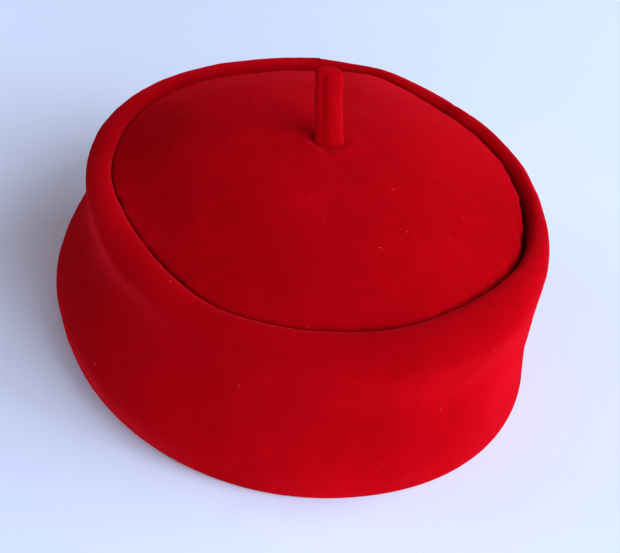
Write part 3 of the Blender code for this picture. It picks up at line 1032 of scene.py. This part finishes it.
def pile_felt(name, offset, sheen):
    """Short pile felt: large brushed patches, a streaky nap, and the fine pile itself, each a noise
    of its own size, with the pile brushed in patches that also carry painted light and painted shade,
    mixed from deep to bright red, with painted shade in creases and round the stub, a red sheen and a
    bump of the pile."""
    look = settings().look
    material, tree, shader = new_material(name)
    coordinates = new_node(tree, "ShaderNodeTexCoord").outputs["Object"]
    mapping = new_node(tree, "ShaderNodeMapping", {"Location": (offset, offset / 2, -offset)})
    tree.links.new(coordinates, mapping.inputs["Vector"])
    place = mapping.outputs["Vector"]
    turned = {"Scale": (1.0, 1.0, 0.4), "Rotation": (0.2, -0.3, 0.5)}
    combed = new_node(tree, "ShaderNodeMapping", turned)
    tree.links.new(place, combed.inputs["Vector"])

    nap = noise(tree, combed.outputs["Vector"], *NAP)
    values = {
        "patches": noise(tree, place, *PATCHES),
        "nap": nap,
        "brushed": new_node(tree, "ShaderNodeAttribute", attribute_name="brushed").outputs["Fac"],
        "pile": noise(tree, place, *PILE),
        "grain": noise(tree, place, *GRAIN),
    }

    # The brushed patches in this sum carry painted light and painted shade as well as the brushed
    # pile
    total = weighted_sum(tree, COLOUR_SHARES, values)
    brushed = between(tree, total, DEEPEST, BRIGHTEST, 0.0, 1.0)
    colour = blended(tree, brushed, look.deep, look.bright)
    # Painted shade: the colour is darkened by the amount of painted shade each point carries
    crease = new_node(tree, "ShaderNodeAttribute", attribute_name="crease").outputs["Fac"]
    colour = blended(tree, crease, colour, look.crease)
    tree.links.new(colour, shader.inputs["Base Color"])
    tree.links.new(between(tree, nap, 0.3, 0.7, 0.86, 1.0), shader.inputs["Roughness"])

    bump = new_node(tree, "ShaderNodeBump", {"Strength": 0.55, "Distance": 0.00035})
    tree.links.new(weighted_sum(tree, BUMP_SHARES, values), bump.inputs["Height"])
    tree.links.new(bump.outputs["Normal"], shader.inputs["Normal"])
    set_inputs(shader, {"Specular IOR Level": 0.0, "Diffuse Roughness": 1.0})
    set_inputs(shader, {"Sheen Weight": sheen, "Sheen Roughness": 0.32})
    set_inputs(shader, {"Sheen Tint": (*look.sheen, 1.0)})
    return material


def fibre_felt():
    """Loose pile fibres: pale where they stand clear, towards the felt's red elsewhere."""
    material, tree, shader = new_material("fibre_felt")
    coordinates = new_node(tree, "ShaderNodeTexCoord").outputs["Object"]
    share = between(tree, noise(tree, coordinates, 300.0, 2.0, 0.5), 0.35, 0.65, 0.0, 1.0)
    look = settings().look
    tree.links.new(blended(tree, share, look.fibre, look.bright), shader.inputs["Base Color"])
    set_inputs(shader, {"Roughness": 0.9, "Specular IOR Level": 0.0})
    return material


def build_stage():
    """The camera, the floor, the even light of the surroundings and the soft window lights, and plain
    view colours."""
    stage = settings().stage
    scene = bpy.context.scene

    camera = bpy.data.objects.new("camera", bpy.data.cameras.new("camera"))
    camera.data.lens = stage.lens
    camera.data.clip_start = 0.01
    camera.location = stage.camera_place
    camera.rotation_euler = stage.camera_turn
    scene.collection.objects.link(camera)
    scene.camera = camera

    mesh = bpy.data.meshes.new("floor")
    signs = ((-1, -1), (1, -1), (1, 1), (-1, 1))
    corners = [(x * FLOOR_REACH, y * FLOOR_REACH, 0.0) for x, y in signs]
    mesh.from_pydata(corners, [], [(0, 1, 2, 3)])
    material, tree, shader = new_material("pale_floor")
    coordinates = new_node(tree, "ShaderNodeTexCoord").outputs["Object"]
    share = noise(tree, coordinates, *FLOOR_NOISE)
    lighter = tuple(min(1.0, value * FLOOR_LIGHTER) for value in stage.floor)
    tree.links.new(blended(tree, share, stage.floor, lighter), shader.inputs["Base Color"])
    set_inputs(shader, {"Roughness": 0.9, "Specular IOR Level": 0.1})
    mesh.materials.append(material)
    floor = bpy.data.objects.new("floor", mesh)
    scene.collection.objects.link(floor)

    world = bpy.data.worlds.new("surroundings")
    world.use_nodes = True
    background = world.node_tree.nodes["Background"]
    set_inputs(background, {"Color": (*stage.sky, 1.0), "Strength": stage.sky_strength})
    scene.world = world

    for number, light in enumerate(WINDOW_LIGHTS, 1):
        data = bpy.data.lights.new(f"window_light_{number}", "AREA")
        data.shape = "RECTANGLE"
        data.size = light["width"]
        data.size_y = light["height"]
        data.energy = light["power"] * stage.light_strength
        data.color = stage.light_tint
        lamp = bpy.data.objects.new(data.name, data)
        azimuth, elevation = np.radians(light["azimuth"]), np.radians(light["elevation"])
        level = np.cos(elevation)
        away = np.array([np.cos(azimuth) * level, np.sin(azimuth) * level, np.sin(elevation)])
        lamp.location = away * light["distance"]
        lamp.rotation_euler = (np.pi / 2 - elevation, 0.0, azimuth + np.pi / 2)
        scene.collection.objects.link(lamp)
    scene.view_settings.view_transform = "Standard"
    scene.view_settings.look = "None"


class HatSettings(bpy.types.PropertyGroup):
    """Everything that shapes and colours the hat."""

    band: bpy.props.PointerProperty(type=BandSizes)
    seam: bpy.props.PointerProperty(type=SeamSizes)
    crown: bpy.props.PointerProperty(type=CrownSizes)
    stub: bpy.props.PointerProperty(type=StubSizes)
    fibres: bpy.props.PointerProperty(type=FibreSizes)
    look: bpy.props.PointerProperty(type=PileLook)
    stage: bpy.props.PointerProperty(type=StageLook)


class FEZHAT_OT_stage(bpy.types.Operator):
    """Set up the pale floor, the soft light and the camera"""

    bl_idname = "fez_hat.stage"
    bl_label = "Stage"

    def execute(self, context):
        build_stage()
        return {"FINISHED"}


class FEZHAT_OT_side_band(bpy.types.Operator):
    """Build the side band with its rolled edge and its seam"""

    bl_idname = "fez_hat.side_band"
    bl_label = "Side band"

    def execute(self, context):
        build_side_band()
        return {"FINISHED"}


class FEZHAT_OT_crown(bpy.types.Operator):
    """Build the domed crown that is sewn into the rolled edge"""

    bl_idname = "fez_hat.crown"
    bl_label = "Crown"

    def execute(self, context):
        build_crown()
        return {"FINISHED"}


class FEZHAT_OT_stub(bpy.types.Operator):
    """Build the rolled stub on the crown"""

    bl_idname = "fez_hat.stub"
    bl_label = "Stub"

    def execute(self, context):
        build_stub()
        return {"FINISHED"}


class FEZHAT_OT_fibres(bpy.types.Operator):
    """Lay loose pile fibres on the built felt pieces"""

    bl_idname = "fez_hat.fibres"
    bl_label = "Loose fibres"

    def execute(self, context):
        build_fibres()
        return {"FINISHED"}


class FEZHAT_PT_panel(bpy.types.Panel):
    """Lists the hat's sizes and the operators that build it"""

    bl_idname = "FEZHAT_PT_panel"
    bl_label = "Fez Hat"
    bl_space_type = "VIEW_3D"
    bl_region_type = "UI"
    bl_category = "Fez Hat"

    def draw(self, context):
        hat = context.scene.fez_hat
        for group in (hat.band, hat.seam, hat.crown, hat.stub, hat.fibres, hat.look, hat.stage):
            box = self.layout.box()
            for name in group.bl_rna.properties.keys():
                if name not in ("rna_type", "name"):
                    box.prop(group, name)
        for name in ("stage", "side_band", "crown", "stub", "fibres"):
            self.layout.operator(f"fez_hat.{name}")


CLASSES = (
    *(BandSizes, SeamSizes, CrownSizes, StubSizes, FibreSizes, PileLook, StageLook, HatSettings),
    FEZHAT_OT_stage,
    FEZHAT_OT_side_band,
    FEZHAT_OT_crown,
    FEZHAT_OT_stub,
    FEZHAT_OT_fibres,
    FEZHAT_PT_panel,
)


def register():
    """Register the classes and put the settings on the scene."""
    for cls in CLASSES:
        bpy.utils.register_class(cls)
    bpy.types.Scene.fez_hat = bpy.props.PointerProperty(type=HatSettings)


def unregister():
    """Take the settings off the scene and unregister the classes."""
    del bpy.types.Scene.fez_hat
    for cls in reversed(CLASSES):
        bpy.utils.unregister_class(cls)


def main():
    """Build the stage and the hat."""
    register()
    bpy.ops.fez_hat.stage()
    bpy.ops.fez_hat.side_band()
    bpy.ops.fez_hat.crown()
    bpy.ops.fez_hat.stub()
    bpy.ops.fez_hat.fibres()


if __name__ == "__main__":
    main()
